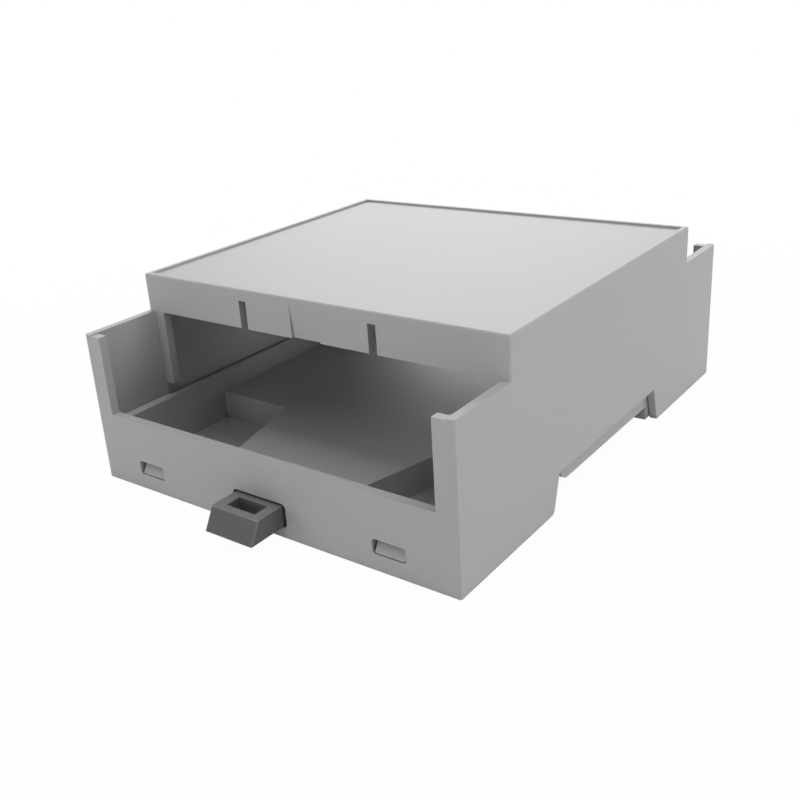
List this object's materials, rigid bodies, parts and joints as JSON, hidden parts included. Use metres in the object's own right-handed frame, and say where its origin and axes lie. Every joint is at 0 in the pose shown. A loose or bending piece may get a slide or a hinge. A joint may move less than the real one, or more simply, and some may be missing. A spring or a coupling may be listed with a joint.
{
  "type": "din rail enclosure",
  "caption": "Low grey plastic enclosure for a 35 mm top-hat rail, open over the terminals at both ends, with a dark sliding rail clip.",
  "frame": {"origin": "middle of the rail seat, where the rail lies against the base: middle of the width, middle of the rail, height of the seat", "axes": "+X across the width along the rail, +Y from the rail clip's end to the fixed hook's end, +Z away from the rail towards the top"},
  "size_m": [0.0706, 0.097, 0.0321],
  "materials": {
    "cover_plastic": "light grey moulded plastic, fine satin texture",
    "base_plastic": "light grey moulded plastic, satin",
    "clip_plastic": "dark grey moulded plastic, satin"
  },
  "bodies": {
    "housing": {"cover": "cover_plastic", "base": "base_plastic"},
    "clip": {"rail_clip": "clip_plastic"}
  },
  "joints": [
    {"name": "clip_slide", "type": "slide", "parent": "housing", "child": "clip", "axis": [0, -1, 0], "range_m": [0, 0.0025], "stiffness_N_per_m": 2000}
  ]
}
